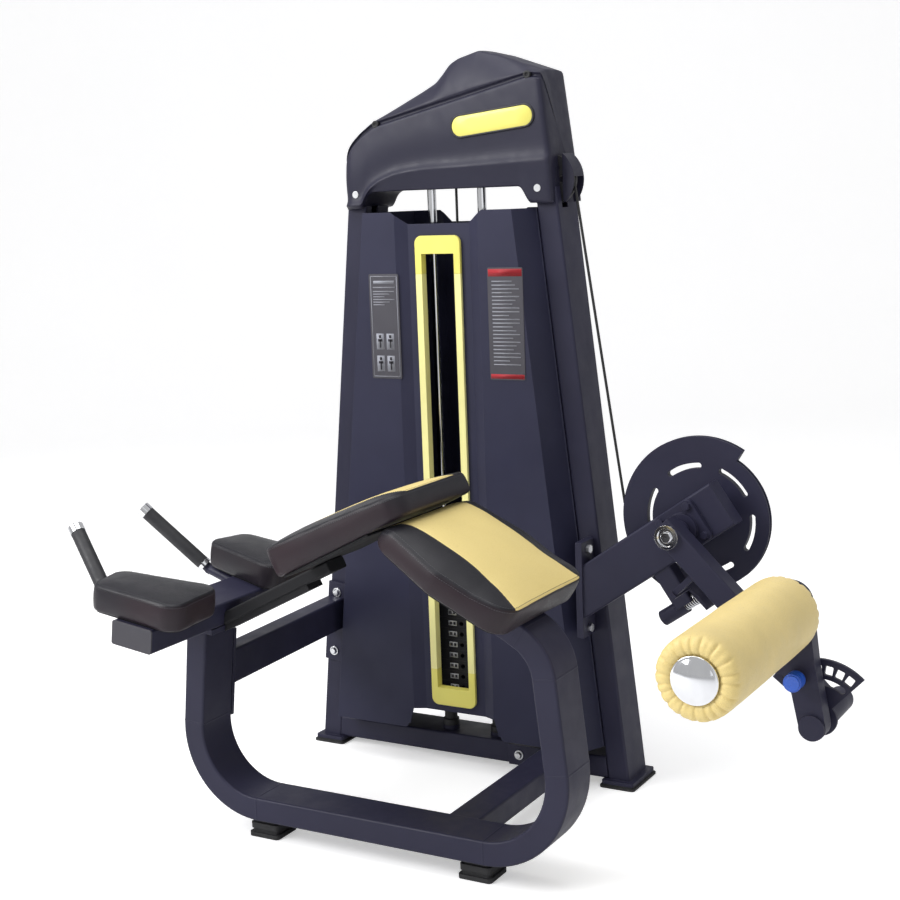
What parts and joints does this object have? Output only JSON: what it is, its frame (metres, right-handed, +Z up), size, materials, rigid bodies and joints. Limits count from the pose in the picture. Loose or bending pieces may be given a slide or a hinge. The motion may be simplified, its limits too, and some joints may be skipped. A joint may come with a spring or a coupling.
{
  "type": "lying leg curl machine",
  "caption": "Prone leg curl machine: angled bench with elbow rests, a swinging ankle-roller lever and cam, and a shrouded selectorised weight-stack tower.",
  "frame": {"origin": "centre of the underside of the bench's right floor foot, on the bench's middle plane", "axes": "+X along the bench from the hand grips to the ankle roller, +Y from the bench towards the weight tower, +Z up"},
  "size_m": [1.5806, 0.9593, 1.622],
  "materials": {
    "frame_paint": "textured powder coat, charcoal with a violet cast",
    "cover_paint": "satin powder coat, charcoal",
    "hood_plastic": "moulded shroud, fine grain, charcoal",
    "yellow_plastic": "pale lemon yellow trim",
    "placard_plastic": null,
    "plate_iron": "black painted iron",
    "chrome_parts": "polished",
    "zinc_parts": "bright zinc plate",
    "black_rubber": "moulded rubber",
    "cable_jacket": "black sheathed steel cable",
    "pulley_plastic": "glass-filled nylon",
    "black_vinyl": "black upholstery vinyl, fine grain, double stitched",
    "yellow_vinyl": "yellow upholstery vinyl",
    "board_black": "plywood base board, black stained",
    "blue_plastic": "blue moulded knob",
    "grip_rubber": "ribbed hand grip"
  },
  "bodies": {
    "frame": {"left_upright": "frame_paint", "right_upright": "frame_paint", "base_rail": "frame_paint", "bridge_plates": "frame_paint", "rod_clamp_block": "frame_paint", "bench_frame": "frame_paint", "left_link_beam": "frame_paint", "floor_beam": "frame_paint", "elbow_crossbar": "frame_paint", "pivot_beam": "frame_paint", "handle_rods": "frame_paint", "pad_bracket": "frame_paint", "bearing_units": "frame_paint", "front_cover": "cover_paint", "rear_cover": "cover_paint", "hood_front": "hood_plastic", "hood_rear": "hood_plastic", "pulley_cover": "hood_plastic", "window_top_cap": "yellow_plastic", "window_bottom_cap": "yellow_plastic", "window_strips": "yellow_plastic", "badge": "yellow_plastic", "placards": "placard_plastic", "crossbar_caps": "placard_plastic", "weight_plates": "plate_iron", "guide_rods": "chrome_parts", "grip_rings": "chrome_parts", "bridge_bolts": "zinc_parts", "pulley_axles": "zinc_parts", "panel_screws": "zinc_parts", "frame_bolts": "zinc_parts", "tower_feet": "black_rubber", "rod_cushions": "black_rubber", "bench_feet": "black_rubber", "lift_cable": "cable_jacket", "left_elbow_pad": "black_vinyl", "right_elbow_pad": "black_vinyl", "chest_pad": "black_vinyl", "thigh_pad": "black_vinyl", "elbow_pad_boards": "board_black", "chest_board": "board_black", "thigh_board": "board_black", "hand_grips": "grip_rubber"},
    "lever": {"lever_arm": "frame_paint", "pivot_shaft": "zinc_parts", "hub_cap": "chrome_parts", "cam": "frame_paint", "cam_cable": "cable_jacket"},
    "roller_arm": {"roller_bracket": "frame_paint"},
    "roller": {"ankle_roller": "yellow_vinyl"},
    "pop_pin_body": {"pop_pin": "blue_plastic"},
    "lifted_stack": {"lifted_plates": "plate_iron", "top_plate": "plate_iron", "selector_stem": "chrome_parts"},
    "selector": {"selector_pin": "yellow_plastic"},
    "centre_pulley_body": {"centre_pulley": "pulley_plastic"},
    "side_pulley_body": {"side_pulley": "pulley_plastic"},
    "rest_buffer": {"buffer_plunger": "black_rubber", "buffer_spring": "chrome_parts"}
  },
  "joints": [
    {"name": "lever_swing", "type": "hinge", "parent": "frame", "child": "lever", "pos_m": [0.246, 0.495, 0.618], "axis": [0, -1, 0], "range_deg": [0, 115]},
    {"name": "roller_adjust", "type": "hinge", "parent": "lever", "child": "roller_arm", "pos_m": [0.587, 0.35, 0.306], "axis": [0, -1, 0], "range_deg": [-50, 25]},
    {"name": "roller_spin", "type": "hinge", "parent": "roller_arm", "child": "roller", "pos_m": [0.532, 0, 0.524], "axis": [0, 1, 0], "continuous": true},
    {"name": "pop_pin_slide", "type": "slide", "parent": "roller_arm", "child": "pop_pin_body", "axis": [0, 1, 0], "range_m": [0, 0.01]},
    {"name": "stack_lift", "type": "slide", "parent": "frame", "child": "lifted_stack", "axis": [0, 0, 1], "range_m": [0, 0.35]},
    {"name": "selector_pull", "type": "slide", "parent": "lifted_stack", "child": "selector", "axis": [0, -1, 0], "range_m": [0, 0.06]},
    {"name": "centre_pulley_turn", "type": "hinge", "parent": "frame", "child": "centre_pulley_body", "pos_m": [-0.276, 0.57, 1.43], "axis": [0, 1, 0], "range_deg": [0, 400]},
    {"name": "side_pulley_turn", "type": "hinge", "parent": "frame", "child": "side_pulley_body", "pos_m": [-0.086, 0.57, 1.343], "axis": [0, 1, 0], "range_deg": [0, 400]},
    {"name": "buffer_press", "type": "slide", "parent": "frame", "child": "rest_buffer", "axis": [-0.8271, 0, -0.5621], "range_m": [0, 0.008]}
  ],
  "couplings": [
    {"joint": "stack_lift", "follows": "lever_swing", "m_per_rad": 0.172},
    {"joint": "centre_pulley_turn", "follows": "lever_swing", "ratio": 3.44},
    {"joint": "side_pulley_turn", "follows": "lever_swing", "ratio": 3.44}
  ]
}
